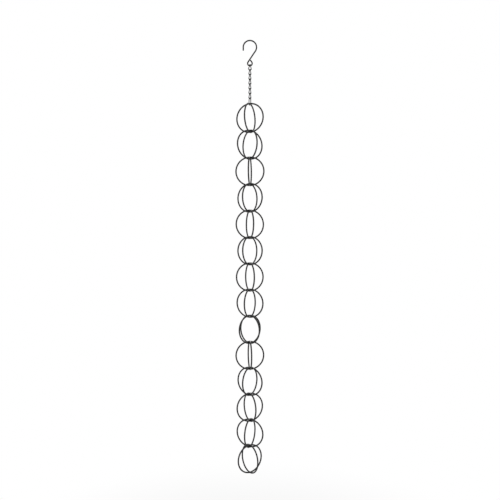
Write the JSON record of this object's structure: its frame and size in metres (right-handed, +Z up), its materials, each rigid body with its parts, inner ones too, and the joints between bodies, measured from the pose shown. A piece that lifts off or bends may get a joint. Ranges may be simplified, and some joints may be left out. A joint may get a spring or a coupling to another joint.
{
  "type": "rain chain",
  "caption": "Hanging rain chain of interlocked wire balls, each two crossed welded rings, below a short twisted chain and an open hook, to lead water down from a gutter.",
  "frame": {"origin": "inside of the hook's bend, at its top, where it rests on its hanger", "axes": "+Z up along the hanging chain, +X to the right and +Y away as the hook's plane is seen in the picture"},
  "size_m": [0.0792, 0.0796, 1.1739],
  "materials": {
    "wire_metal": "satin black powder coat",
    "chain_metal": "satin black coat"
  },
  "bodies": {
    "hook": {"hook": "wire_metal"},
    "chain_link_1": {"chain_link_1": "chain_metal"},
    "chain_link_2": {"chain_link_2": "chain_metal"},
    "chain_link_3": {"chain_link_3": "chain_metal"},
    "chain_link_4": {"chain_link_4": "chain_metal"},
    "chain_link_5": {"chain_link_5": "chain_metal"},
    "chain_link_6": {"chain_link_6": "chain_metal"},
    "chain_link_7": {"chain_link_7": "chain_metal"},
    "joining_link": {"joining_link": "chain_metal"},
    "ball_01": {"ball_01": "wire_metal"},
    "ball_02": {"ball_02": "wire_metal"},
    "ball_03": {"ball_03": "wire_metal"},
    "ball_04": {"ball_04": "wire_metal"},
    "ball_05": {"ball_05": "wire_metal"},
    "ball_06": {"ball_06": "wire_metal"},
    "ball_07": {"ball_07": "wire_metal"},
    "ball_08": {"ball_08": "wire_metal"},
    "ball_09": {"ball_09": "wire_metal"},
    "ball_10": {"ball_10": "wire_metal"},
    "ball_11": {"ball_11": "wire_metal"},
    "ball_12": {"ball_12": "wire_metal"},
    "ball_13": {"ball_13": "wire_metal"},
    "ball_14": {"ball_14": "wire_metal"}
  },
  "joints": [
    {"name": "chain_link_1_swing", "type": "hinge", "parent": "hook", "child": "chain_link_1", "pos_m": [0, 0, -0.06485], "axis": [1, 0, 0], "range_deg": [-40, 40]},
    {"name": "chain_link_2_swing", "type": "hinge", "parent": "chain_link_1", "child": "chain_link_2", "pos_m": [0, 0, -0.07425], "axis": [-0.3907, 0.9205, 0], "range_deg": [-40, 40]},
    {"name": "chain_link_3_swing", "type": "hinge", "parent": "chain_link_2", "child": "chain_link_3", "pos_m": [0, 0, -0.08935], "axis": [-0.9205, -0.3907, 0], "range_deg": [-40, 40]},
    {"name": "chain_link_4_swing", "type": "hinge", "parent": "chain_link_3", "child": "chain_link_4", "pos_m": [0, 0, -0.09945], "axis": [0.3907, -0.9205, 0], "range_deg": [-40, 40]},
    {"name": "chain_link_5_swing", "type": "hinge", "parent": "chain_link_4", "child": "chain_link_5", "pos_m": [0, 0, -0.11455], "axis": [0.9205, 0.3907, 0], "range_deg": [-40, 40]},
    {"name": "chain_link_6_swing", "type": "hinge", "parent": "chain_link_5", "child": "chain_link_6", "pos_m": [0, 0, -0.12465], "axis": [-0.3907, 0.9205, 0], "range_deg": [-40, 40]},
    {"name": "chain_link_7_swing", "type": "hinge", "parent": "chain_link_6", "child": "chain_link_7", "pos_m": [0, 0, -0.13975], "axis": [-0.9205, -0.3907, 0], "range_deg": [-40, 40]},
    {"name": "joining_link_swing", "type": "hinge", "parent": "chain_link_7", "child": "joining_link", "pos_m": [0, 0, -0.14985], "axis": [0.3907, -0.9205, 0], "range_deg": [-40, 40]},
    {"name": "ball_01_swing", "type": "hinge", "parent": "joining_link", "child": "ball_01", "pos_m": [0, 0, -0.16915], "axis": [-0.3907, 0.9205, 0], "range_deg": [-5, 5]},
    {"name": "ball_02_swing", "type": "hinge", "parent": "ball_01", "child": "ball_02", "pos_m": [0, 0, -0.23915], "axis": [0, 1, 0], "range_deg": [-10, 10]},
    {"name": "ball_03_swing", "type": "hinge", "parent": "ball_02", "child": "ball_03", "pos_m": [0, 0, -0.31045], "axis": [1, 0, 0], "range_deg": [-10, 10]},
    {"name": "ball_04_swing", "type": "hinge", "parent": "ball_03", "child": "ball_04", "pos_m": [0, 0, -0.38175], "axis": [0, -1, 0], "range_deg": [-4, 4]},
    {"name": "ball_05_swing", "type": "hinge", "parent": "ball_04", "child": "ball_05", "pos_m": [0, 0, -0.45305], "axis": [-1, 0, 0], "range_deg": [-10, 10]},
    {"name": "ball_06_swing", "type": "hinge", "parent": "ball_05", "child": "ball_06", "pos_m": [0, 0, -0.52435], "axis": [0, 1, 0], "range_deg": [-10, 10]},
    {"name": "ball_07_swing", "type": "hinge", "parent": "ball_06", "child": "ball_07", "pos_m": [0, 0, -0.59565], "axis": [1, 0, 0], "range_deg": [-10, 10]},
    {"name": "ball_08_swing", "type": "hinge", "parent": "ball_07", "child": "ball_08", "pos_m": [0, 0, -0.66695], "axis": [0, -1, 0], "range_deg": [-10, 10]},
    {"name": "ball_09_swing", "type": "hinge", "parent": "ball_08", "child": "ball_09", "pos_m": [0, 0, -0.73825], "axis": [-1, 0, 0], "range_deg": [-4, 4]},
    {"name": "ball_10_swing", "type": "hinge", "parent": "ball_09", "child": "ball_10", "pos_m": [0, 0, -0.80955], "axis": [0, 1, 0], "range_deg": [-10, 10]},
    {"name": "ball_11_swing", "type": "hinge", "parent": "ball_10", "child": "ball_11", "pos_m": [0, 0, -0.88085], "axis": [1, 0, 0], "range_deg": [-10, 10]},
    {"name": "ball_12_swing", "type": "hinge", "parent": "ball_11", "child": "ball_12", "pos_m": [0, 0, -0.95215], "axis": [0, -1, 0], "range_deg": [-10, 10]},
    {"name": "ball_13_swing", "type": "hinge", "parent": "ball_12", "child": "ball_13", "pos_m": [0, 0, -1.02345], "axis": [-1, 0, 0], "range_deg": [-10, 10]},
    {"name": "ball_14_swing", "type": "hinge", "parent": "ball_13", "child": "ball_14", "pos_m": [0, 0, -1.09475], "axis": [0, 1, 0], "range_deg": [-10, 10]}
  ]
}
